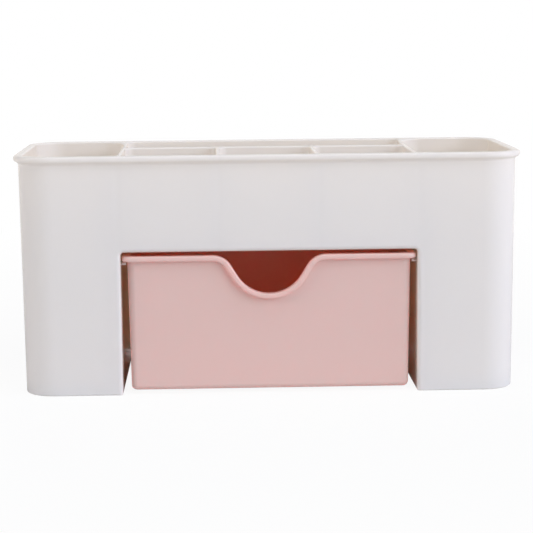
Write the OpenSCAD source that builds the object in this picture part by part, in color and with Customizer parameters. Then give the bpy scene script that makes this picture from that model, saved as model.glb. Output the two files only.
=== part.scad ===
// Makeup organizer: a one-piece moulded body with open compartments over a hanging drawer.
// Millimetres. The body stands on z = 0, the front faces -Y and the origin is midway under it.

/* [Body] */
// Width over the rim
body_w = 220; // [200:1:260]
// Depth over the rim
body_d = 97; // [85:1:130]
// Height from the table to the rim
body_h = 104; // [92:1:130]
// Thickness of the outer wall
wall_t = 1.8; // [1.4:0.1:2.6]
// Corner radius of the rim in plan
corner_r = 17; // [13:0.5:24]
// Lean of every moulded wall, in degrees
draft = 0.65; // [0.2:0.05:1]
// Rounding of the edge that stands on the table
base_edge_r = 0.8; // [0.3:0.1:2]

/* [Rim] */
// How far the rolled rim stands out from the wall
rim_out = 2; // [1.2:0.1:3]
// Radius of the rim's rounded edges
rim_nose_r = 0.75; // [0.4:0.05:1]
// Height of the upright band between the rim's rounded edges
rim_face = 0.4; // [0.2:0.1:1.5]
// Slope of the rim's underside, in degrees from upright
rim_slope = 45; // [35:1:55]

/* [Compartments] */
// Thickness of a divider at its top
divider_t = 1.6; // [1.2:0.1:2.4]
// How far the dividers stop below the rim
divider_drop = 1.2; // [0.4:0.1:3]
// Radius of the curve in which a divider rises to the rim
divider_rise_r = 8; // [3:0.5:12]
// Number of cells in the front row
cell_count = 3; // [2:1:5]
// Corner radius of the cells and of the rear slot
cell_corner_r = 4; // [3:0.5:7]
// Depth of the slot behind the front row
rear_slot_d = 25; // [18:1:34]
// Corner radius of an end well beside the dividers
well_corner_r = 10; // [5:0.5:12]
// Rounding between the floor and the walls of a compartment
floor_fillet_r = 2.5; // [1:0.5:3]
// Thickness of the compartment floors
floor_t = 1.8; // [1.4:0.1:2.6]
// Height of the standing rim under each end well
foot_h = 1; // [0.5:0.1:2]
// Width of the standing rim under each end well
foot_w = 3; // [2:0.5:6]

/* [Drawer bay] */
// Width of the bay between the end wells
bay_w = 128; // [112:1:136]
// Height of the bay from the table
bay_h = 62.4; // [54:0.2:70]
// Rounding of the two upper corners of the bay
bay_corner_r = 1.5; // [0.5:0.5:4]
// Room between the table and the back wall of the bay
back_gap = 4; // [2:0.5:10]
// Thickness of a runner
runner_t = 1.4; // [1:0.1:2.5]
// How far a runner starts behind the front of the body
runner_setback = 4; // [0.5:0.5:8]
// Slope at the front end of a runner, which leads the flange in
runner_lead = 0.8; // [0.2:0.1:0.9]

/* [Drawer] */
// Room between the table and the drawer
drawer_lift = 1.6; // [1.2:0.1:4]
// Thickness of the drawer wall and floor
drawer_wall_t = 1.6; // [1.2:0.1:2.4]
// Lean of the drawer walls, in degrees
drawer_draft = 1; // [0.3:0.1:1.6]
// Corner radius of the drawer in plan
drawer_corner_r = 3.6; // [3.6:0.1:8]
// Rounding of the drawer's lower outer edge
drawer_edge_r = 2.2; // [1.5:0.1:3.5]
// How far the flange stands out from the drawer wall
flange_out = 2.25; // [1.8:0.05:3]
// Corner radius of the flange in plan
flange_corner_r = 4; // [3:0.5:8]
// Height of the flange and of the bead round the finger notch
flange_t = 2.4; // [1.6:0.1:3]

/* [Finger notch] */
// Width of the notch at the top of the drawer front
notch_w = 49; // [46:0.5:55]
// Depth of the notch
notch_depth = 16.8; // [14.2:0.2:20]
// Radius of the rounded bottom of the notch
notch_r = 16; // [12:0.5:19]
// Steepness of the straight flank, in degrees
notch_flank = 58; // [53:1:62]

/* [Fits] */
// Running gap between the flange and the runner under it
run_gap = 0.2; // [0.1:0.05:0.5]
// Gap between the flange and each side of the bay
side_gap = 0.4; // [0.3:0.05:1.2]
// Gap between the flange and the top of the bay
top_gap = 1.8; // [0.6:0.1:2.5]
// Gap between the closed drawer and the back of the bay
back_stop_gap = 0.8; // [0.4:0.1:3]
// Gap between a runner's edge and the drawer wall
runner_gap = 0.5; // [0.3:0.05:0.9]

/* [Hidden] */
$fn = 64;
// Overshoot of a cut past the face that it opens
cut = 2;
body_color = [0.93, 0.92, 0.92];
drawer_color = [0.90, 0.72, 0.70];

// Outer wall, measured at the height of the rim
wall_w = body_w - 2 * rim_out;
wall_d = body_d - 2 * rim_out;
wall_r = corner_r - rim_out;
inner_w = wall_w - 2 * wall_t;
inner_d = wall_d - 2 * wall_t;
inner_r = wall_r - wall_t;

// How far a moulded wall leans in over a height, to a hundredth of a millimetre
function lean(height, angle) = round(100 * height * tan(angle)) / 100;

// Corner radius that leaves room for the lean of a wall
function roomy(r, height, angle) = max(r, lean(height, angle) + 0.8);

// Compartments
deck_z = bay_h + floor_t;
cell_h = body_h - deck_z;
cell_w = floor(100 * (bay_w - (cell_count - 1) * divider_t) / cell_count) / 100;
cell_d = inner_d - rear_slot_d - divider_t;
cell_y = -inner_d / 2 + cell_d / 2;
slot_y = inner_d / 2 - rear_slot_d / 2;
well_z = foot_h + floor_t;
well_w = inner_w / 2 - bay_w / 2 - divider_t;
well_x = inner_w / 2 - well_w / 2;
cell_r = roomy(cell_corner_r, cell_h, draft);
well_r = roomy(well_corner_r, body_h - well_z, draft);

// Drawer bay
bay_back_y = wall_d / 2 - lean(body_h, draft) - wall_t;
foot_wall = foot_w + lean(body_h, draft);

// Drawer flange, which hangs on the runners
flange_w = bay_w - 2 * side_gap;
flange_top = bay_h - top_gap;
flange_z = flange_top - flange_t;
flange_front_y = -wall_d / 2 + lean(body_h - flange_top, draft);
flange_back_y = bay_back_y - back_stop_gap;
flange_d = flange_back_y - flange_front_y;
flange_y = (flange_front_y + flange_back_y) / 2;

// Drawer walls
drawer_w = flange_w - 2 * flange_out;
drawer_d = flange_d - 2 * flange_out;
drawer_h = flange_top - drawer_lift;
drawer_in_r = roomy(drawer_corner_r - drawer_wall_t, drawer_h, drawer_draft);
drawer_r = drawer_in_r + drawer_wall_t;

// Runners
runner_z = flange_z - run_gap - runner_t;
runner_x = drawer_w / 2 + runner_gap;

// Shoulder of the notch: an arc that is tangent to the flank and to the flat top
notch_shoulder_r = (notch_w / 2 - notch_depth / tan(notch_flank)) / tan(notch_flank / 2) - notch_r;

// Half section of a drafted tub from its corner axis outwards, with a rounded lower edge
module tub_half(r, h, angle, edge_r) {
    base_r = r - lean(h, angle);
    arc_x = base_r - edge_r;
    polygon([[0, 0], [arc_x, 0], [base_r, edge_r], [r, h], [0, h]]);
    intersection() {
        translate([arc_x, edge_r]) circle(edge_r);
        translate([arc_x, -edge_r]) square(2 * edge_r);
    }
}

// Drafted tub on z = 0 whose size is given at its top, with one corner radius for each X side
module tub(w, d, h, r_left, r_right, angle, edge_r) {
    half = min(r_left, r_right);
    edge = min(edge_r, half - lean(h, angle) - 0.3);
    // Middle stretch between the corners, with the whole section across Y
    translate([-w / 2 + r_left, 0, 0])
        rotate([90, 0, 90])
        linear_extrude(w - r_left - r_right) {
            for (side = [0, 1])
                mirror([side, 0])
                translate([d / 2 - half, 0])
                tub_half(half, h, angle, edge);
            translate([half - d / 2, 0]) square([d - 2 * half, h]);
        }
    tub_end(w, d, h, r_right, angle, edge);
    mirror([1, 0, 0]) tub_end(w, d, h, r_left, angle, edge);
}

// The +X end of a tub: two round corners and the wall between them
module tub_end(w, d, h, r, angle, edge_r) {
    translate([w / 2 - r, d / 2 - r, 0])
        rotate([90, 0, 0])
        linear_extrude(d - 2 * r)
        tub_half(r, h, angle, edge_r);
    for (side = [0, 1])
        mirror([0, side, 0])
        translate([w / 2 - r, d / 2 - r, 0])
        rotate_extrude(angle = 90)
        tub_half(r, h, angle, edge_r);
}

// Rounded rectangle about the origin
module rounded_rect(w, d, r) {
    square([w - 2 * r, d], center = true);
    square([w, d - 2 * r], center = true);
    for (x = [-1, 1], y = [-1, 1])
        translate([x * (w / 2 - r), y * (d / 2 - r)]) circle(r);
}

// Points of an arc about a centre, from one angle to another
function arc(centre, r, from, to, steps) = [
    for (i = [0 : steps])
        let (turn = from + (to - from) * i / steps)
        centre + r * [cos(turn), sin(turn)]
];

// Section of the rim from the corner axis outwards: a band with rounded edges and a sloped underside
module rim_section() {
    upper = [corner_r - rim_nose_r, body_h - rim_nose_r];
    lower = upper - [0, rim_face];
    nose_arc = concat(arc(upper, rim_nose_r, 90, 0, 8), arc(lower, rim_nose_r, 0, rim_slope - 90, 4));
    under = nose_arc[len(nose_arc) - 1];
    // The underside runs on into the middle of the wall
    root_x = wall_r - wall_t / 2;
    root_z = under.y - (under.x - root_x) / tan(rim_slope);
    polygon(concat([[root_x, root_z], [root_x, body_h]], nose_arc));
}

// Rim carried all round the body
module rim() {
    long = body_w - 2 * corner_r;
    short = body_d - 2 * corner_r;
    for (turn = [0, 180]) {
        rotate(turn)
            translate([-long / 2, short / 2, 0])
            rotate([90, 0, 90])
            linear_extrude(long)
            rim_section();
        rotate(turn)
            translate([long / 2, short / 2, 0])
            rotate([90, 0, 0])
            linear_extrude(short)
            rim_section();
    }
    for (x = [0, 1], y = [0, 1])
        mirror([x, 0, 0])
        mirror([0, y, 0])
        translate([long / 2, short / 2, 0])
        rotate_extrude(angle = 90)
        rim_section();
}

// Deep end well on the +X side
module end_well() {
    translate([well_x, 0, well_z])
        tub(well_w, inner_d, body_h - well_z, well_r, inner_r, draft, floor_fillet_r);
}

// Shallow compartment over the bay
module compartment(w, d, x, y) {
    translate([x, y, deck_z])
        tub(w, d, cell_h, cell_r, cell_r, draft, floor_fillet_r);
}

// Front row of cells and the slot behind them
module compartments() {
    for (i = [0 : cell_count - 1])
        compartment(cell_w, cell_d, (i - (cell_count - 1) / 2) * (cell_w + divider_t), cell_y);
    compartment(bay_w, rear_slot_d, 0, slot_y);
}

// Dip along the top of a divider, from one end to the other, which rises to the rim at a wall
module crest_dip(from, to, thickness) {
    translate([0, thickness / 2, body_h - divider_drop + divider_rise_r])
        rotate([90, 0, 0])
        linear_extrude(thickness) {
            translate([from, -divider_rise_r]) square([to - from, 2 * divider_rise_r]);
            for (x = [from, to])
                translate([x, 0]) circle(divider_rise_r);
        }
}

// Tops of all dividers
module divider_crests() {
    // Room for the rising curve and the rounded corner at a wall
    rise = well_corner_r / 2 + divider_rise_r / 2;
    thick = divider_t + 2 * cell_r;
    reach = bay_w / 2 + divider_t + divider_rise_r;
    translate([0, slot_y - rear_slot_d / 2 - divider_t / 2, 0]) crest_dip(-reach, reach, divider_t + 1);
    for (i = [1 : cell_count - 1])
        translate([-bay_w / 2 + i * (cell_w + divider_t) - divider_t / 2, 0, 0])
            rotate(90)
            crest_dip(-inner_d / 2 + rise, cell_y + cell_d / 2 + divider_rise_r, thick);
    for (side = [-1, 1])
        translate([side * (bay_w + divider_t) / 2, 0, 0])
            rotate(90)
            crest_dip(-inner_d / 2 + rise, inner_d / 2 - rise, thick);
}

// Bay for the drawer, open at the front and underneath
module drawer_bay() {
    translate([0, bay_back_y, 0])
        rotate([90, 0, 0])
        linear_extrude(body_d) {
            translate([-bay_w / 2, -cut]) square([bay_w, bay_h + cut - bay_corner_r]);
            translate([bay_corner_r - bay_w / 2, 0]) square([bay_w - 2 * bay_corner_r, bay_h]);
            for (side = [-1, 1])
                translate([side * (bay_w / 2 - bay_corner_r), bay_h - bay_corner_r]) circle(bay_corner_r);
        }
    translate([-bay_w / 2, 0, -cut]) cube([bay_w, body_d, back_gap + cut]);
}

// Recess under the +X end well, which leaves a standing rim
module foot_recess() {
    inside = bay_w / 2 + foot_w;
    outside = wall_w / 2 - foot_wall;
    translate([(inside + outside) / 2, 0, -cut])
        linear_extrude(foot_h + cut)
        rounded_rect(outside - inside, wall_d - 2 * foot_wall, inner_r - foot_w);
}

// Runner on the +X side of the bay, with a lead-in at its front end
module runner() {
    front = -wall_d / 2 + lean(body_h - runner_z, draft) + runner_setback;
    translate([runner_x, 0, 0])
        rotate([90, 0, 90])
        linear_extrude(bay_w / 2 + divider_t / 2 - runner_x)
        polygon([
            [front, runner_z], [bay_back_y + wall_t / 2, runner_z],
            [bay_back_y + wall_t / 2, runner_z + runner_t],
            [front + 2 * runner_lead, runner_z + runner_t], [front, runner_z + runner_t - runner_lead]
        ]);
}

module body() {
    color(body_color) {
        difference() {
            union() {
                tub(wall_w, wall_d, body_h, wall_r, wall_r, draft, base_edge_r);
                rim();
            }
            for (side = [0, 1])
                mirror([side, 0, 0]) {
                    end_well();
                    foot_recess();
                }
            compartments();
            divider_crests();
            drawer_bay();
        }
        for (side = [0, 1])
            mirror([side, 0, 0]) runner();
    }
}

// Right half of the drawer front's top edge, from the middle of the notch outwards,
// lowered by a distance square to that edge
function front_edge(drop) = concat(
    arc([0, flange_top - notch_depth + notch_r], notch_r + drop, -90, notch_flank - 90, 12),
    arc([notch_w / 2, flange_top - notch_shoulder_r], notch_shoulder_r - drop, notch_flank + 90, 90, 8)
);

// Everything above that edge, out to a distance on both sides
module above_front(drop, reach) {
    right = front_edge(drop);
    left = [for (i = [len(right) - 1 : -1 : 1]) [-right[i].x, right[i].y]];
    edge = concat(left, right);
    top = flange_top + notch_depth;
    polygon(concat(
        [[-reach, top], [-reach, flange_top - drop]], edge, [[reach, flange_top - drop], [reach, top]]
    ));
}

// A drawing of the drawer front stood upright, its thickness running back from y
module upright(y, thickness) {
    translate([0, y + thickness, 0])
        rotate([90, 0, 0])
        linear_extrude(thickness)
        children();
}

module drawer() {
    color(drawer_color)
        difference() {
            union() {
                translate([0, flange_y, drawer_lift])
                    tub(drawer_w, drawer_d, drawer_h, drawer_r, drawer_r, drawer_draft, drawer_edge_r);
                translate([0, flange_y, flange_z])
                    linear_extrude(flange_t)
                    rounded_rect(flange_w, flange_d, flange_corner_r);
                notch_bead();
            }
            translate([0, flange_y, drawer_lift + drawer_wall_t])
                tub(drawer_w - 2 * drawer_wall_t, drawer_d - 2 * drawer_wall_t, drawer_h - drawer_wall_t,
                    drawer_in_r, drawer_in_r, drawer_draft, drawer_edge_r - drawer_wall_t / 2);
            upright(flange_front_y - cut, cut + flange_out + 3 * drawer_wall_t) above_front(0, flange_w);
        }
}

// Bead that carries the flange down round the notch
module notch_bead() {
    upright(flange_front_y, flange_out + drawer_wall_t / 2)
        difference() {
            above_front(flange_t, notch_w / 2 + flange_t);
            above_front(0, flange_w);
        }
}

body();
drawer();
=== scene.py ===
import bmesh
import bpy
import numpy as np
from mathutils import Matrix, Vector


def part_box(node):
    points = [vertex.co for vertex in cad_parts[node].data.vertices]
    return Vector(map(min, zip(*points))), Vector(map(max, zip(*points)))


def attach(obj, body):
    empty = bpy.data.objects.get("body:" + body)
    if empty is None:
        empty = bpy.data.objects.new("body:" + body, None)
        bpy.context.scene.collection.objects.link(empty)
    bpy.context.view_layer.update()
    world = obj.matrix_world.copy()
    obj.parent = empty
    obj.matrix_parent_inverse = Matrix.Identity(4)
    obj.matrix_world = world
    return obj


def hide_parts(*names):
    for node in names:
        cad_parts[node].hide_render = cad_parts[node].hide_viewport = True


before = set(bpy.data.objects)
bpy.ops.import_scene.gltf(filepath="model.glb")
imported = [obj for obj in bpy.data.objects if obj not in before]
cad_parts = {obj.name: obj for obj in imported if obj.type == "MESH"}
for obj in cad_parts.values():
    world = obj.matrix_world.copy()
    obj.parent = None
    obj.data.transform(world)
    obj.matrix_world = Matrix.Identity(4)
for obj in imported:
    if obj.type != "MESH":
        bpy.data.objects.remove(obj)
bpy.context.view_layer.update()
mm = 0.001  # sizes are in millimetres, meshes in metres
bodyLow, bodyHigh = [np.array(corner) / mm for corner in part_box("body")]
drawerLow, drawerHigh = [np.array(corner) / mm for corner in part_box("drawer")]
print("frame loaded: body", np.round(bodyHigh - bodyLow, 2), "drawer", np.round(drawerHigh - drawerLow, 2))


# Camera

viewpoint = {
    "place": (-23.44, -807.94, 162.26),
    "yaw": 1.666,      # degrees to the right of +Y
    "pitch": 7.957,    # degrees down
    "roll": -0.579,    # degrees about the line of sight
    "focal": 1789.9,   # pixels
    "image": 533,      # pixels across
    "sensor": 36.0,    # millimetres across
}


def placeCamera(look):
    # forward comes from yaw and pitch, right is level, and both right and up turn about forward by the roll
    yaw, pitch, roll = np.radians([look["yaw"], look["pitch"], look["roll"]])
    forward = np.array([np.sin(yaw) * np.cos(pitch), np.cos(yaw) * np.cos(pitch), -np.sin(pitch)])
    right = np.array([np.cos(yaw), -np.sin(yaw), 0.0])
    up = np.cross(right, forward)
    turnedRight = np.cos(roll) * right + np.sin(roll) * up
    turnedUp = np.cos(roll) * up - np.sin(roll) * right
    axes = Matrix(np.stack([turnedRight, turnedUp, -forward], axis=1).tolist()).to_4x4()
    lens = bpy.data.cameras.new("camera")
    lens.sensor_width = look["sensor"]
    lens.lens = look["focal"] * look["sensor"] / look["image"]
    camera = bpy.data.objects.new("camera", lens)
    camera.matrix_world = Matrix.Translation(np.array(look["place"]) * mm) @ axes
    bpy.context.scene.collection.objects.link(camera)
    bpy.context.scene.camera = camera


placeCamera(viewpoint)
print("camera placed")


# Meshes from stacks of closed rings

meshing = {
    "weld": 1e-6,      # metres within which points become one
    "flatLead": 60,    # how strongly large flat faces lead the smooth normals
}


def ringFaces(rows, columns, first):
    # quads between neighbouring rings, each ring joined end to start
    here = first + np.arange((rows - 1) * columns).reshape(rows - 1, columns)
    beside = np.roll(here, -1, axis=1)
    return np.stack([here, beside, beside + columns, here + columns], axis=-1).reshape(-1, 4)


def stackMesh(name, stacks):
    # every stack is an array of rings x points x 3; its first and last ring may be closed by one flat face
    points, faces, first = [], [], 0
    for rings, closeFirst, closeLast in stacks:
        rows, columns = rings.shape[:2]
        points.append(rings.reshape(-1, 3) * mm)
        faces += ringFaces(rows, columns, first).tolist()
        if closeFirst:
            faces.append(list(range(first, first + columns)))
        if closeLast:
            faces.append(list(range(first + (rows - 1) * columns, first + rows * columns)))
        first += rows * columns
    mesh = bpy.data.meshes.new(name)
    mesh.from_pydata(np.concatenate(points).tolist(), [], faces)
    welded = bmesh.new()
    welded.from_mesh(mesh)
    bmesh.ops.remove_doubles(welded, verts=welded.verts, dist=meshing["weld"])
    bmesh.ops.recalc_face_normals(welded, faces=welded.faces)
    welded.to_mesh(mesh)
    welded.free()
    return mesh


def addObject(name, mesh):
    piece = bpy.data.objects.new(name, mesh)
    bpy.context.scene.collection.objects.link(piece)
    return piece


def carve(piece, tools):
    # joins or cuts each tool into the piece, keeps the resulting mesh and removes the tools
    for tool, operation in tools:
        step = piece.modifiers.new(tool.name, "BOOLEAN")
        step.object = tool
        step.operation = operation
        step.solver = "EXACT"
    shaped = piece.evaluated_get(bpy.context.evaluated_depsgraph_get())
    mesh = bpy.data.meshes.new_from_object(shaped)
    piece.modifiers.clear()
    piece.data = mesh
    for tool, operation in tools:
        bpy.data.objects.remove(tool)


def finishPiece(piece, body, node, material):
    # smooth shading with the large flat faces leading the normals
    piece.data.shade_smooth()
    flow = piece.modifiers.new("flow", "WEIGHTED_NORMAL")
    flow.weight = meshing["flatLead"]
    flow.keep_sharp = True
    piece.data.materials.clear()
    piece.data.materials.append(material)
    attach(piece, body)
    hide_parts(node)


# Outlines

def straight(start, end, room, fine, pitch):
    # run of points with short even steps over the room at both ends and longer even steps between
    start, end = np.array(start, float), np.array(end, float)
    length = np.linalg.norm(end - start)
    between = max(2, round((length - 2 * room) / pitch))
    along = np.concatenate([
        np.linspace(0, room, fine, endpoint=False),
        np.linspace(room, length - room, between, endpoint=False),
        np.linspace(length - room, length, fine + 1),
    ])
    return start + np.outer(along / length, end - start)


def sweep(fromAngle, toAngle, steps):
    # even angles from one to the other, degrees in and radians out
    return np.radians(np.linspace(fromAngle, toAngle, steps + 1))


def arc(centre, radius, fromAngle, toAngle, steps):
    # circle points from one angle to another, in degrees
    angle = sweep(fromAngle, toAngle, steps)
    return np.array(centre) + radius * np.stack([np.cos(angle), np.sin(angle)], axis=1)


def chain(runs):
    # joins runs that share their end points into one closed ring
    return np.concatenate([run[:-1] for run in runs])


def flip(run):
    # the same run walked the other way
    return run[::-1]


def roundedRing(low, high, radius, steps):
    # rounded rectangle, anticlockwise from its lower left corner
    low, high = np.array(low), np.array(high)
    corners = np.array([low, (high[0], low[1]), high, (low[0], high[1])])
    centres = np.clip(corners, low + radius, high - radius)
    starts = (180, 270, 0, 90)
    arcs = [arc(centre, radius, start, start + 90, steps) for centre, start in zip(centres, starts)]
    return np.concatenate(arcs)


def lift(plan, height):
    # a plan outline, or rows of them, with its heights as third coordinate
    height = np.broadcast_to(height, plan.shape[:-1])
    return np.concatenate([plan, height[..., None]], axis=-1)


# Body

organizer = {
    "wall": 1.8,
    "floor": 1.8,
    "draft": 0.65,          # degrees
    "rimOut": 2.0,
    "rimCorner": 17.0,
    "nose": 1.2,            # radius of the rim's outer edges
    "noseFace": 0.4,        # upright band between them
    "underSlope": 60.0,     # degrees from upright of the rim's underside
    "underRim": 1.2,        # hollow where the rim's underside meets the wall
    "lip": 0.8,             # rounding of the rim's inner edge and of a divider's top
    "baseEdge": 0.8,
    "cells": 3,
    "divider": 1.6,
    "dividerDrop": 1.2,
    "riseFrom": 1.0,        # a divider climbs to the rim between these distances from it
    "riseTo": 14.0,
    "wellCorner": 10.0,
    "cellCorner": 4.0,
    "rearSlot": 25.0,
    "floorFillet": 2.5,
    "sinkDepth": 0.07,      # sink marks on the front where a divider meets it
    "sinkWidth": 1.6,
    "sinkTop": 4.0,         # distance below the rim at which a mark starts, and over which it deepens
    "sinkFoot": 3.0,        # distance above the bay over which it fades
    "sinkTurn": 4.0,        # how fast it fades round a corner
}
bodySteps = {
    "room": 9.6,            # stretch of short steps at both ends of a run along the rim
    "fine": 15,             # steps over that stretch
    "endRoom": 3.0,         # the same along the two short sides
    "endFine": 2,
    "pitch": 3.6,           # length of a step between
    "corner": 18,           # steps round a corner of the rim
    "edge": 7,              # steps round a fillet or a lip
    "wallRows": 40,
    "wellRows": 30,
    "cellRows": 14,
}
bay = {
    "half": 64.0,
    "top": 62.4,
    "corner": 1.5,
    "edge": 1.6,            # rounding of the opening's front edge
    "backCorner": 1.5,
    "foot": 0.6,            # rounding of the legs' inner lower edges
}
backGap = {
    "half": bay["half"],
    "top": 4.0,
    "corner": 0.8,
    "edge": 0.4,            # rounding of the slot's edge at the back
    "end": 30.0,            # where the slot has come through into the bay
    "foot": 0.6,
}
runner = {
    "tall": 1.4,
    "runGap": 0.2,          # room between the runner and the flange on it
    "wallGap": 0.5,         # room between the runner and the drawer's wall
    "sunk": 0.7,            # how far it reaches into the side of the bay
    "round": 0.35,
    "start": 4.0,           # its front end, behind the front of the body
    "lead": 0.8,            # drop of that end
}
footRecess = {
    "rim": 3.0,             # width of the standing rim
    "deep": 1.0,
    "edge": 0.35,
}
flare = {
    "stop": 80.0,           # degrees at which a flared edge runs on straight
    "run": 2.5,             # length of that straight, in radii of the edge
    "steps": 7,
}
underTable = 5.0            # how far the bay and the slot are cut on below the table

rimTop = bodyHigh[2]
slope = np.tan(np.radians(organizer["draft"]))
baseLean = round(rimTop * slope, 2)              # lean of a wall from the rim down to the table
wallHalf = bodyHigh[:2] - organizer["rimOut"]    # outer wall, at the height of the rim
insideHalf = wallHalf - organizer["wall"]
borderHalf = insideHalf + organizer["lip"]       # line on the rim where its inner edge has turned level
borderCorner = organizer["rimCorner"] - (bodyHigh[0] - borderHalf[0])
bayBack = insideHalf[1] - baseLean
cellLines = np.linspace(-1, 1, organizer["cells"] + 1) * (bay["half"] + organizer["divider"] / 2)
longLine = insideHalf[1] - organizer["rearSlot"] - organizer["divider"] / 2


def rimDistance(plan):
    # distance of plan points inside the rim's rounded border line
    past = np.abs(plan) - (borderHalf - borderCorner)
    beyond = np.linalg.norm(np.maximum(past, 0), axis=-1) + np.minimum(np.max(past, axis=-1), 0)
    return borderCorner - beyond


def crestHeight(plan):
    # rim height at the rim, falling in a soft step to the top of a divider
    share = (rimDistance(plan) - organizer["riseFrom"]) / (organizer["riseTo"] - organizer["riseFrom"])
    share = np.clip(share, 0, 1)
    return rimTop - organizer["dividerDrop"] * share ** 2 * (3 - 2 * share)


def mouthLine(border, pocket):
    # border points drawn in to the pocket's rounded mouth: square to a side, spread round each corner
    low, high = np.array(pocket["low"]), np.array(pocket["high"])
    side = np.where(border < (low + high) / 2, -1.0, 1.0)
    onLeft = side[:, 0] < 0
    radius = np.where(onLeft, pocket["leftCorner"], pocket["rightCorner"])[:, None]
    centre = np.where(side < 0, low, high) - side * radius
    past = (border - centre) * side
    reach = np.abs(np.where(side < 0, border.min(axis=0), border.max(axis=0)) - centre)
    share = 0.5 * (1 + past[:, 0] / reach[:, 0] - past[:, 1] / reach[:, 1])
    rounded = np.where(onLeft, pocket["end"] == "left", pocket["end"] == "right")
    share = np.where(rounded, 1 - np.arctan2(past[:, 1], past[:, 0]) / (np.pi / 2), share)
    share = np.where(past[:, 0] <= 0, 0, np.where(past[:, 1] <= 0, 1, share))
    turn = (1 - share) * np.pi / 2
    outward = side * np.stack([np.cos(turn), np.sin(turn)], axis=1)
    return centre + side * np.minimum(past, 0) + outward * radius, outward


def pocketRings(border, pocket):
    # floor ring, fillet, drafted wall and rounded lip, each row offset square to the mouth line;
    # 0 * top spreads a row's one value over all its points
    mouth, outward = mouthLine(border, pocket)
    top = crestHeight(border)
    fillet, lip = organizer["floorFillet"], organizer["lip"]
    wallFoot = pocket["floor"] + fillet
    turn = sweep(0, 90, bodySteps["edge"])[:, None]
    filletInset = (rimTop - wallFoot) * slope + fillet * (1 - np.sin(turn)) + 0 * top
    filletHeight = pocket["floor"] + fillet * (1 - np.cos(turn)) + 0 * top
    share = np.linspace(0, 1, pocket["rows"])[1:, None]
    wallHeight = wallFoot * (1 - share) + (top - lip) * share
    wallInset = (rimTop - wallHeight) * slope
    inset = np.concatenate([filletInset, wallInset])
    height = np.concatenate([filletHeight, wallHeight])
    wallPlan = mouth - outward * inset[..., None]
    lipPlan = wallPlan[-1] + (border - wallPlan[-1]) * (1 - np.cos(turn[1:]))[..., None]
    lipHeight = top - lip * (1 - np.sin(turn[1:]))
    return lift(np.concatenate([wallPlan, lipPlan]), np.concatenate([height, lipHeight]))


def rimProfile():
    # offset from the border line and height: level top, rounded band, sloped underside, hollow, drafted
    # wall and base edge
    out = bodyHigh[0] - borderHalf[0]
    nose, hollow, base = organizer["nose"], organizer["underRim"], organizer["baseEdge"]
    under = organizer["underSlope"]
    upperArc = arc((out - nose, rimTop - nose), nose, 90, 0, steps=8)
    lowerArc = arc((out - nose, rimTop - nose - organizer["noseFace"]), nose, 0, -under, steps=6)
    noseArc = np.concatenate([upperArc, lowerArc])
    wallOut = out - organizer["rimOut"]
    meetZ = noseArc[-1, 1] - (noseArc[-1, 0] - wallOut) / np.tan(np.radians(under))
    hollowZ = meetZ - hollow * np.tan(np.radians(under / 2))
    hollowX = wallOut - (rimTop - hollowZ) * slope + hollow
    hollowArc = arc((hollowX, hollowZ), hollow, 180 - under, 180, steps=6)
    wallZ = np.linspace(hollowZ, base, bodySteps["wallRows"])[1:]
    wallRun = np.stack([wallOut - (rimTop - wallZ) * slope, wallZ], axis=1)
    baseArc = arc((wallRun[-1, 0] - base, base), base, 0, -90, steps=6)[1:]
    return np.concatenate([[[0, rimTop]], noseArc, hollowArc, wallRun, baseArc])


def outerRings(border):
    # the rim profile carried round the border line, with shallow sink marks on the front
    past = np.abs(border) - (borderHalf - borderCorner)
    corner = np.sign(border) * np.maximum(past, 0)
    outward = corner / np.linalg.norm(corner, axis=1)[:, None]
    profile = rimProfile()
    height = profile[:, 1]
    plan = border + outward * profile[:, None, :1]
    front = np.clip(1 - organizer["sinkTurn"] * (1 + outward[:, 1]), 0, 1)
    marks = np.exp(-((border[:, :1] - cellLines) / organizer["sinkWidth"]) ** 2).sum(axis=1) * front
    belowRim = np.clip((rimTop - height) / organizer["sinkTop"] - 1, 0, 1)
    aboveBay = np.clip((height - bay["top"]) / organizer["sinkFoot"], 0, 1)
    plan[..., 1] += organizer["sinkDepth"] * (belowRim * aboveBay)[:, None] * marks
    return lift(plan, height[:, None])


def flared(radius):
    # quarter turn stopped short of level and run on straight, so that it crosses the face it opens into
    turn = sweep(flare["stop"], 0, flare["steps"])
    run = radius * (1 - np.stack([np.cos(turn), np.sin(turn)], axis=1))
    last = np.array([np.sin(turn[0]), -np.cos(turn[0])])
    return np.concatenate([[run[0] + flare["run"] * radius * last], run])


def archRings(shape, face, stations):
    # an arch outline in x and z behind a drafted face, which is -1 at the front and 1 at the back; each
    # station says how far the outline grows square to itself and how deep behind the face it lies
    foot = flared(shape["foot"])
    half, top, corner = shape["half"], shape["top"], shape["corner"]
    below = [[half + foot[0, 0], -underTable]]
    legSide = np.concatenate([below, foot + [half, 0]])
    bend = arc((half - corner, top - corner), corner, 0, 90, steps=8)
    rightSide = np.concatenate([legSide, bend])
    outline = np.concatenate([rightSide, rightSide[::-1] * [-1, 1]])
    turn = np.concatenate([np.zeros(len(legSide)), np.linspace(0, np.pi / 2, len(bend))])
    grow = np.stack([np.cos(turn), np.sin(turn)], axis=1)
    grow = np.concatenate([grow, grow[::-1] * [-1, 1]])
    section = outline + grow * stations[:, None, :1]
    wallY = wallHalf[1] - (rimTop - section[..., 1]) * slope
    depth = face * (wallY - stations[:, 1:])
    return np.stack([section[..., 0], depth, section[..., 1]], axis=-1)


def bayRings():
    # the front edge flares out, and the far end rounds in to a flat back
    front = archRings(bay, -1, flared(bay["edge"]))
    turn = sweep(0, 90, steps=5)
    shrink = -bay["backCorner"] * (1 - np.cos(turn))
    backY = bayBack - bay["backCorner"] * (1 - np.sin(turn))
    far = archRings(bay, -1, np.stack([shrink, 0 * turn], axis=1))
    far[..., 1] = backY[:, None]
    return np.concatenate([front, far])


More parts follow.
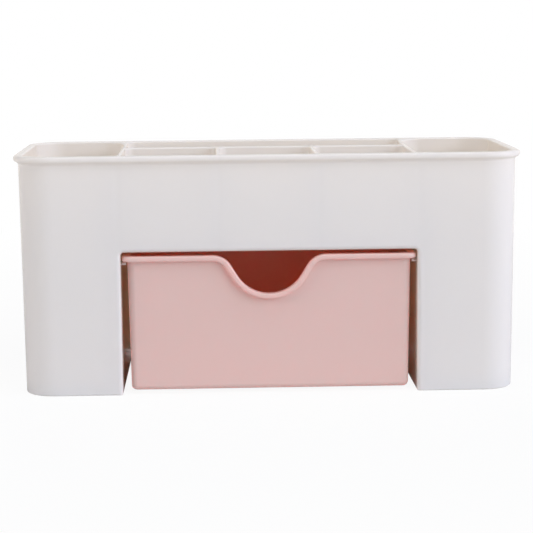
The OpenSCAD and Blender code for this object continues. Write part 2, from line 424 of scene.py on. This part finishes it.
def gapRings():
    # low slot under the back wall, which flares out to the back
    outer = archRings(backGap, 1, flared(backGap["edge"]))
    inner = outer[-1:].copy()
    inner[..., 1] = backGap["end"]
    return np.concatenate([outer, inner])


def runnerRings(side):
    # rounded bar along the bay's side, under the flange; its front end slopes down to lead the flange in
    high = drawerHigh[2] - drawer["flangeTall"] - runner["runGap"]
    low = high - runner["tall"]
    inner = drawerHigh[0] - drawer["flangeOut"] + runner["wallGap"]
    ring = roundedRing((inner, low), (bay["half"] + runner["sunk"], high), runner["round"], steps=4)
    start = runner["start"] - wallHalf[1] + (rimTop - low) * slope
    depth = np.array([start, start + 2 * runner["lead"], 0.0, bayBack + organizer["wall"] / 2])
    squeeze = np.array([1 - runner["lead"] / runner["tall"], 1, 1, 1])
    height = low + (ring[:, 1] - low) * squeeze[:, None]
    return np.stack(np.broadcast_arrays(side * ring[:, 0], depth[:, None], height), axis=-1)


def recessRings(side):
    # shallow pan under an end well, its lower edge flared and its upper edge rounded
    edge, rim = footRecess["edge"], footRecess["rim"]
    lower = flared(edge)
    turn = sweep(0, flare["stop"], steps=4)
    growth = np.concatenate([lower[:, 0], -edge * (1 - np.cos(turn))])
    height = np.concatenate([lower[:, 1], footRecess["deep"] - edge * (1 - np.sin(turn))])
    high = wallHalf - baseLean - rim
    low = np.array([bay["half"] + rim, -high[1]])
    corner = organizer["rimCorner"] - organizer["rimOut"] - organizer["wall"] - rim
    rings = [roundedRing(low - g, high + g, corner + g, steps=10) for g in growth]
    return lift(np.array(rings) * [side, 1], height[:, None])


def bodyMesh():
    # six pockets whose borders meet along the dividers, and the outside carried round their common rim
    front, back = -borderHalf[1], borderHalf[1]
    left, right = cellLines[0], cellLines[-1]
    bendX, bendY = borderHalf - borderCorner

    def run(start, end):
        return straight(start, end, bodySteps["room"], bodySteps["fine"], bodySteps["pitch"])

    def shortSide(start, end):
        return straight(start, end, bodySteps["endRoom"], bodySteps["endFine"], bodySteps["pitch"])

    def bend(y, fromAngle):
        return arc((bendX, y), borderCorner, fromAngle, fromAngle + 90, bodySteps["corner"])

    spans = list(zip(cellLines[:-1], cellLines[1:]))
    frontRuns = [run((a, front), (b, front)) for a, b in spans]
    longRuns = [run((a, longLine), (b, longLine)) for a, b in spans]
    nearRuns = [run((x, front), (x, longLine)) for x in cellLines]
    farLeft, farRight = [run((x, longLine), (x, back)) for x in (left, right)]
    backRun = run((right, back), (left, back))
    rightEnd = [
        run((right, front), (bendX, front)),
        bend(-bendY, -90),
        shortSide((borderHalf[0], -bendY), (borderHalf[0], bendY)),
        bend(bendY, 0),
        run((bendX, back), (right, back)),
    ]
    leftEnd = [-points for points in rightEnd]  # the right end turned half round

    half = organizer["divider"] / 2
    inner, outer = organizer["wellCorner"], borderCorner - organizer["lip"]
    deep = {"floor": footRecess["deep"] + organizer["floor"], "rows": bodySteps["wellRows"]}
    rightWell = {
        **deep, "end": "right", "leftCorner": inner, "rightCorner": outer,
        "low": (right + half, -insideHalf[1]), "high": insideHalf,
    }
    leftWell = {
        **deep, "end": "left", "leftCorner": outer, "rightCorner": inner,
        "low": -insideHalf, "high": (left - half, insideHalf[1]),
    }
    shallow = {
        "floor": bay["top"] + organizer["floor"], "rows": bodySteps["cellRows"], "end": None,
        "leftCorner": organizer["cellCorner"], "rightCorner": organizer["cellCorner"],
    }
    rearSlot = {**shallow, "low": (left + half, longLine + half), "high": (right - half, insideHalf[1])}
    pockets = [
        (chain(rightEnd + [flip(farRight), flip(nearRuns[-1])]), rightWell),
        (chain(leftEnd + [nearRuns[0], farLeft]), leftWell),
        (chain(longRuns + [farRight, backRun, flip(farLeft)]), rearSlot),
    ]
    for i, (a, b) in enumerate(spans):
        cell = {**shallow, "low": (a + half, -insideHalf[1]), "high": (b - half, longLine - half)}
        border = chain([frontRuns[i], nearRuns[i + 1], flip(longRuns[i]), flip(nearRuns[i])])
        pockets.append((border, cell))
    stacks = [(pocketRings(border, pocket), True, False) for border, pocket in pockets]
    stacks.append((outerRings(chain(frontRuns + rightEnd + [backRun] + leftEnd)), False, True))
    return stackMesh("organizer_body", stacks)


def makeBody(material):
    # the shell with its pockets, less the bay, the slot and the recesses, plus the runners
    piece = addObject("organizer_body", bodyMesh())
    shapes = [("bay", bayRings(), "DIFFERENCE"), ("gap", gapRings(), "DIFFERENCE")]
    for side in (-1, 1):
        shapes.append(("recess", recessRings(side), "DIFFERENCE"))
        shapes.append(("runner", runnerRings(side), "UNION"))
    tools = []
    for name, rings, operation in shapes:
        tools.append((addObject(name, stackMesh(name, [(rings, True, True)])), operation))
    carve(piece, tools)
    finishPiece(piece, "body", "body", material)
    print("body made:", len(piece.data.polygons), "faces")


# Drawer

drawer = {
    "wall": 1.6,
    "floor": 1.6,
    "draft": 1.0,           # degrees
    "corner": 3.6,
    "lowerEdge": 2.2,
    "innerFillet": 0.7,
    "flangeOut": 2.25,
    "flangeTall": 2.4,
    "flangeCorner": 4.0,
    "beadEdge": 0.85,       # rounding of the flange's outer edges
    "beadRoot": 0.4,        # hollow under the flange
    "innerEdge": 0.5,
    "notchWide": 49.0,
    "notchDeep": 16.8,
    "notchRound": 16.0,
    "flank": 58.0,          # degrees
}
drawerSteps = {
    "front": 13,            # steps beside the notch
    "flank": 9,
    "room": 4.0,            # stretch of short steps at both ends of the other sides
    "fine": 2,              # steps over that stretch
    "pitch": 6.0,           # length of a step between
    "corner": 10,           # steps round a corner in plan
    "edge": 7,              # steps round the lower edge and the inner fillet
    "wallRows": 18,
}


def notchRun():
    # top edge of the drawer front across the notch as x and height, with its tilt: shoulder arc, straight
    # flank and bottom arc, each tangent to the next, then the same mirrored
    top, flank = drawerHigh[2], drawer["flank"]
    angle = np.radians(flank)
    level = drawer["notchWide"] / 2 - drawer["notchDeep"] / np.tan(angle)
    shoulder = level / np.tan(angle / 2) - drawer["notchRound"]
    first = arc((-drawer["notchWide"] / 2, top - shoulder), shoulder, 90, 90 - flank, steps=12)
    bottomCentre = (0, top - drawer["notchDeep"] + drawer["notchRound"])
    bottom = arc(bottomCentre, drawer["notchRound"], 270 - flank, 270, steps=14)
    slant = np.linspace(first[-1], bottom[0], drawerSteps["flank"] + 1)[1:-1]
    left = np.concatenate([first, slant, bottom])
    leftTilt = np.concatenate([
        np.linspace(0, -angle, len(first)),
        np.full(len(slant), -angle),
        np.linspace(-angle, 0, len(bottom)),
    ])
    line = np.concatenate([left, left[-2::-1] * [-1, 1]])
    return line, np.concatenate([leftTilt, -leftTilt[-2::-1]])


def drawerLoop():
    # wall line in plan with its outward and corner directions, top height and tilt, anticlockwise from the
    # front's left corner
    corner = drawer["corner"]
    middle = (drawerLow + drawerHigh)[:2] / 2
    half = (drawerHigh - drawerLow)[:2] / 2 - drawer["flangeOut"]
    inX, inY = half - corner
    notch, notchTilt = notchRun()
    leftX = np.linspace(-inX, notch[0, 0], drawerSteps["front"] + 1)[:-1]
    frontX = np.concatenate([leftX, notch[:, 0], -leftX[::-1]])
    flatTop = np.full(len(leftX), drawerHigh[2])
    frontTop = np.concatenate([flatTop, notch[:, 1], flatTop])
    frontTilt = np.concatenate([0 * flatTop, notchTilt, 0 * flatTop])
    frontRun = np.stack([frontX, np.full(len(frontX), -half[1])], axis=1)

    def bend(x, y, fromAngle):
        return arc((x, y), corner, fromAngle, fromAngle + 90, drawerSteps["corner"])

    def side(start, end):
        return straight(start, end, drawerSteps["room"], drawerSteps["fine"], drawerSteps["pitch"])

    rest = [
        bend(inX, -inY, -90),
        side((half[0], -inY), (half[0], inY)),
        bend(inX, inY, 0),
        side((inX, half[1]), (-inX, half[1])),
        bend(-inX, inY, 90),
        side((-half[0], inY), (-half[0], -inY)),
        bend(-inX, -inY, 180),
    ]
    plan = np.concatenate([frontRun] + [run[1:] for run in rest])[:-1]
    past = np.sign(plan) * np.maximum(np.abs(plan) - (half - corner), 0)
    outward = past / np.linalg.norm(past, axis=1)[:, None]
    hair = 1e-6  # so that both ends of a bend count as corner
    atCorner = (np.abs(plan) > half - corner - hair).all(axis=1)
    diagonal = np.where(atCorner[:, None], np.sign(plan), outward)
    more = len(plan) - len(frontRun)
    top = np.concatenate([frontTop, np.full(more, drawerHigh[2])])
    tilt = np.concatenate([frontTilt, np.zeros(more)])
    return plan + middle, outward, diagonal, top, tilt


def beadProfile():
    # section of the flange from its root under the lip to the inner wall, as distance out from the wall
    # and height
    out, tall, wall = drawer["flangeOut"], drawer["flangeTall"], drawer["wall"]
    edge, root, inner = drawer["beadEdge"], drawer["beadRoot"], drawer["innerEdge"]
    runs = [
        arc((root, -tall - root), root, 180, 90, steps=5),
        arc((out - edge, -tall + edge), edge, -90, 0, steps=7),
        arc((out - edge, -edge), edge, 0, 90, steps=7),
        arc((inner - wall, -inner), inner, 90, 180, steps=5),
    ]
    return np.concatenate(runs)


def drawerMesh():
    # one closed surface: underside, lower edge, outer wall, flange, inner wall, fillet, floor. Rows run
    # round the loop; below the notch they slide back to even spacing. The flange keeps its corners nearly
    # as sharp as the wall's
    plan, outward, diagonal, top, tilt = drawerLoop()
    fall = np.tan(np.radians(drawer["draft"]))
    crown, base = drawerHigh[2], drawerLow[2]
    bead = beadProfile()
    out, down = bead[:, :1], bead[:, 1:]
    beadZ = top + down * np.cos(tilt)
    beadX = -down * np.sin(tilt)
    lean = (crown - beadZ) * fall
    beadOut = np.where(out > 0, out + lean * (out / drawer["flangeOut"] - 1), out - lean)

    def wallRows(lowZ, rootRow, thick):
        # rows from a level line up to one row of the bead
        share = np.linspace(0, 1, drawerSteps["wallRows"])[:, None]
        height = lowZ + (beadZ[rootRow] - lowZ) * share
        return height, -thick - (crown - height) * fall, beadX[rootRow] * share ** 2

    def edgeRows(lowZ, radius, thick):
        # quarter turn from a level face to the foot of a wall
        turn = sweep(0, 90, drawerSteps["edge"])[:, None] + 0 * top
        footOut = -thick - (crown - lowZ - radius) * fall
        return lowZ + radius * (1 - np.cos(turn)), footOut - radius * (1 - np.sin(turn)), 0 * turn

    floorZ = base + drawer["floor"]
    outerEdge = edgeRows(base, drawer["lowerEdge"], 0)
    outerWall = wallRows(base + drawer["lowerEdge"], 0, 0)
    innerWall = wallRows(floorZ + drawer["innerFillet"], -1, drawer["wall"])
    innerEdge = edgeRows(floorZ, drawer["innerFillet"], drawer["wall"])
    parts = [
        [rows[:-1] for rows in outerEdge],
        [rows[:-1] for rows in outerWall],
        [beadZ, beadOut, beadX],
        [rows[-2::-1] for rows in innerWall],
        [rows[-2::-1] for rows in innerEdge],
    ]
    height, offset, shift = [np.concatenate(column) for column in zip(*parts)]
    spread = (drawer["flangeCorner"] - drawer["corner"]) / drawer["flangeOut"]
    within, beyond = np.minimum(offset, 0)[..., None], np.maximum(offset, 0)[..., None]
    rings = lift(plan + outward * (within + spread * beyond) + diagonal * (1 - spread) * beyond, height)
    rings[..., 0] += shift
    return stackMesh("drawer_tray", [(rings, True, True)])


def makeDrawer(material):
    piece = addObject("drawer_tray", drawerMesh())
    finishPiece(piece, "drawer", "drawer", material)
    print("drawer made:", len(piece.data.polygons), "faces")


# Moulded plastics

whiteLook = {
    "name": "warm_white_moulding",
    "tone": (0.85, 0.842, 0.845),
    "tint": (0.845, 0.837, 0.84),
    "rough": (0.17, 0.21),
    "through": 0.22,            # share of the light that soaks through a face
    "soak": (1.0, 0.87, 0.66),
}
pinkLook = {
    "name": "dusty_pink_moulding",
    "tone": (0.885, 0.795, 0.73),
    "tint": (0.88, 0.79, 0.725),
    "rough": (0.28, 0.32),
    "through": 0.36,
    "soak": (1.0, 0.2, 0.01),
}
plastic = {
    "ior": 1.49,
    "specular": 0.55,
    "toneCloud": (22, 3),       # scale and detail of the drift between the two tones
    "glossCloud": (60, 4),      # the same for the drift in roughness
    "glossSpan": (0.35, 0.65),  # its values that give the lowest and the highest roughness
    "skinCloud": (900, 2),      # the same for the fine skin
    "skinStrength": 0.5,
    "skinHeight": 0.00001,      # metres
}


def mouldedPlastic(look):
    # two close tones drift over the surface, gloss varies by itself, and a fine skin breaks the highlights
    material = bpy.data.materials.new(look["name"])
    material.use_nodes = True
    nodes, links = material.node_tree.nodes, material.node_tree.links
    shader = nodes["Principled BSDF"]
    shader.inputs["IOR"].default_value = plastic["ior"]
    shader.inputs["Specular IOR Level"].default_value = plastic["specular"]
    soaked = nodes.new("ShaderNodeBsdfTranslucent")
    soaked.inputs["Color"].default_value = (*look["soak"], 1)
    blend = nodes.new("ShaderNodeMixShader")
    blend.inputs["Fac"].default_value = look["through"]
    links.new(shader.outputs["BSDF"], blend.inputs[1])
    links.new(soaked.outputs["BSDF"], blend.inputs[2])
    links.new(blend.outputs["Shader"], nodes["Material Output"].inputs["Surface"])
    place = nodes.new("ShaderNodeTexCoord")

    def cloud(scale, detail):
        noise = nodes.new("ShaderNodeTexNoise")
        noise.inputs["Scale"].default_value = scale
        noise.inputs["Detail"].default_value = detail
        links.new(place.outputs["Object"], noise.inputs["Vector"])
        return noise.outputs["Fac"]

    tones = nodes.new("ShaderNodeMix")
    tones.data_type = "RGBA"
    tones.inputs["A"].default_value = (*look["tone"], 1)
    tones.inputs["B"].default_value = (*look["tint"], 1)
    links.new(cloud(*plastic["toneCloud"]), tones.inputs["Factor"])
    links.new(tones.outputs["Result"], shader.inputs["Base Color"])
    gloss = nodes.new("ShaderNodeMapRange")
    gloss.inputs["From Min"].default_value, gloss.inputs["From Max"].default_value = plastic["glossSpan"]
    gloss.inputs["To Min"].default_value, gloss.inputs["To Max"].default_value = look["rough"]
    links.new(cloud(*plastic["glossCloud"]), gloss.inputs["Value"])
    links.new(gloss.outputs["Result"], shader.inputs["Roughness"])
    skin = nodes.new("ShaderNodeBump")
    skin.inputs["Strength"].default_value = plastic["skinStrength"]
    skin.inputs["Distance"].default_value = plastic["skinHeight"]
    links.new(cloud(*plastic["skinCloud"]), skin.inputs["Height"])
    links.new(skin.outputs["Normal"], shader.inputs["Normal"])
    return material


makeBody(mouldedPlastic(whiteLook))
makeDrawer(mouldedPlastic(pinkLook))


# Studio, in metres

studio = {
    "floorHalf": 4.0,
    "floorTone": 0.85,
    "floorGlow": 0.92,      # share of white that the floor shows the camera by itself, near the object
    "glowFrom": 0.15,       # distances from the middle between which that share climbs to all of it
    "glowTo": 0.6,
    "skyLight": 0.24,
    "skyTint": (0.86, 0.91, 1.0),
    "diffuseBounces": 12,   # the bay and the wells are lit by many small steps
    "allBounces": 16,
    "aim": (0, 0, 0.05),    # where every lamp points
    "lamps": (
        # name, place, size, watts, colour, shown in reflections
        ("top", (0.3, -1.8, 4.6), 2.4, 60, (0.9, 0.93, 1.0), True),
        ("left", (-4.3, -1.3, 1.8), 2.4, 80, (1.0, 0.95, 0.93), True),
        ("right", (3.2, -3.2, 1.8), 2.4, 82, (0.93, 0.98, 1.0), True),
        ("side", (4.3, -1.3, 1.8), 2.4, 99, (0.83, 0.83, 1.0), True),
        ("back", (0, 4.5, 0.9), 1.8, 88, (1.0, 0.95, 0.98), False),
    ),
}


def addLamps():
    for name, place, size, watts, colour, mirrored in studio["lamps"]:
        lamp = bpy.data.lights.new(name, "AREA")
        lamp.size = size
        lamp.energy = watts
        lamp.color = colour
        holder = bpy.data.objects.new(name, lamp)
        holder.visible_glossy = mirrored
        holder.location = place
        sight = Vector(studio["aim"]) - Vector(place)
        holder.rotation_euler = sight.to_track_quat("-Z", "Y").to_euler()
        bpy.context.scene.collection.objects.link(holder)


def seenDirectly(nodes):
    # 1 for rays from the camera and for mirror and glass rays, 0 for light that spreads
    rays = nodes.new("ShaderNodeLightPath")
    first = nodes.new("ShaderNodeMath")
    first.operation = "MAXIMUM"
    second = nodes.new("ShaderNodeMath")
    second.operation = "MAXIMUM"
    links = nodes.id_data.links
    links.new(rays.outputs["Is Camera Ray"], first.inputs[0])
    links.new(rays.outputs["Is Glossy Ray"], first.inputs[1])
    links.new(first.outputs[0], second.inputs[0])
    links.new(rays.outputs["Is Transmission Ray"], second.inputs[1])
    return second.outputs[0]


def addSky():
    # a dim cool sky for light that spreads, plain white where it is seen directly
    world = bpy.data.worlds.new("studio")
    bpy.context.scene.world = world
    world.use_nodes = True
    nodes, links = world.node_tree.nodes, world.node_tree.links
    nodes.clear()
    light = nodes.new("ShaderNodeBackground")
    light.inputs["Color"].default_value = (*studio["skyTint"], 1)
    light.inputs["Strength"].default_value = studio["skyLight"]
    white = nodes.new("ShaderNodeBackground")
    white.inputs["Color"].default_value = (1, 1, 1, 1)
    white.inputs["Strength"].default_value = 1
    mix = nodes.new("ShaderNodeMixShader")
    links.new(seenDirectly(nodes), mix.inputs["Fac"])
    links.new(light.outputs[0], mix.inputs[1])
    links.new(white.outputs[0], mix.inputs[2])
    output = nodes.new("ShaderNodeOutputWorld")
    links.new(mix.outputs[0], output.inputs["Surface"])


def addFloor():
    # pale sheet that shows the camera most of its white by itself and takes the rest, with the shadow, from
    # the lamps
    half = studio["floorHalf"]
    mesh = bpy.data.meshes.new("floor")
    corners = [(-half, -half, 0), (half, -half, 0), (half, half, 0), (-half, half, 0)]
    mesh.from_pydata(corners, [], [(0, 1, 2, 3)])
    floor = addObject("floor", mesh)
    paper = bpy.data.materials.new("pale_floor")
    paper.use_nodes = True
    nodes, links = paper.node_tree.nodes, paper.node_tree.links
    nodes.clear()
    matte = nodes.new("ShaderNodeBsdfDiffuse")
    matte.inputs["Color"].default_value = (*[studio["floorTone"]] * 3, 1)
    glow = nodes.new("ShaderNodeEmission")
    glow.inputs["Strength"].default_value = 1
    place = nodes.new("ShaderNodeTexCoord")
    away = nodes.new("ShaderNodeVectorMath")
    away.operation = "LENGTH"
    links.new(place.outputs["Object"], away.inputs[0])
    # near the object only the camera sees the glow; mirror rays meet the floor as it is lit there
    rays = nodes.new("ShaderNodeLightPath")
    near = nodes.new("ShaderNodeMath")
    near.operation = "MULTIPLY"
    near.inputs[1].default_value = studio["floorGlow"]
    links.new(rays.outputs["Is Camera Ray"], near.inputs[0])
    climb = nodes.new("ShaderNodeMapRange")
    climb.inputs["From Min"].default_value = studio["glowFrom"]
    climb.inputs["From Max"].default_value = studio["glowTo"]
    climb.inputs["To Max"].default_value = 1
    links.new(near.outputs[0], climb.inputs["To Min"])
    links.new(away.outputs["Value"], climb.inputs["Value"])
    share = nodes.new("ShaderNodeMath")
    share.operation = "MULTIPLY"
    links.new(seenDirectly(nodes), share.inputs[0])
    links.new(climb.outputs["Result"], share.inputs[1])
    mix = nodes.new("ShaderNodeMixShader")
    links.new(share.outputs[0], mix.inputs["Fac"])
    links.new(matte.outputs[0], mix.inputs[1])
    links.new(glow.outputs[0], mix.inputs[2])
    output = nodes.new("ShaderNodeOutputMaterial")
    links.new(mix.outputs[0], output.inputs["Surface"])
    mesh.materials.append(paper)


addLamps()
addSky()
addFloor()
bpy.context.scene.view_settings.view_transform = "Standard"
bpy.context.scene.cycles.diffuse_bounces = studio["diffuseBounces"]
bpy.context.scene.cycles.max_bounces = studio["allBounces"]
print("studio lit")
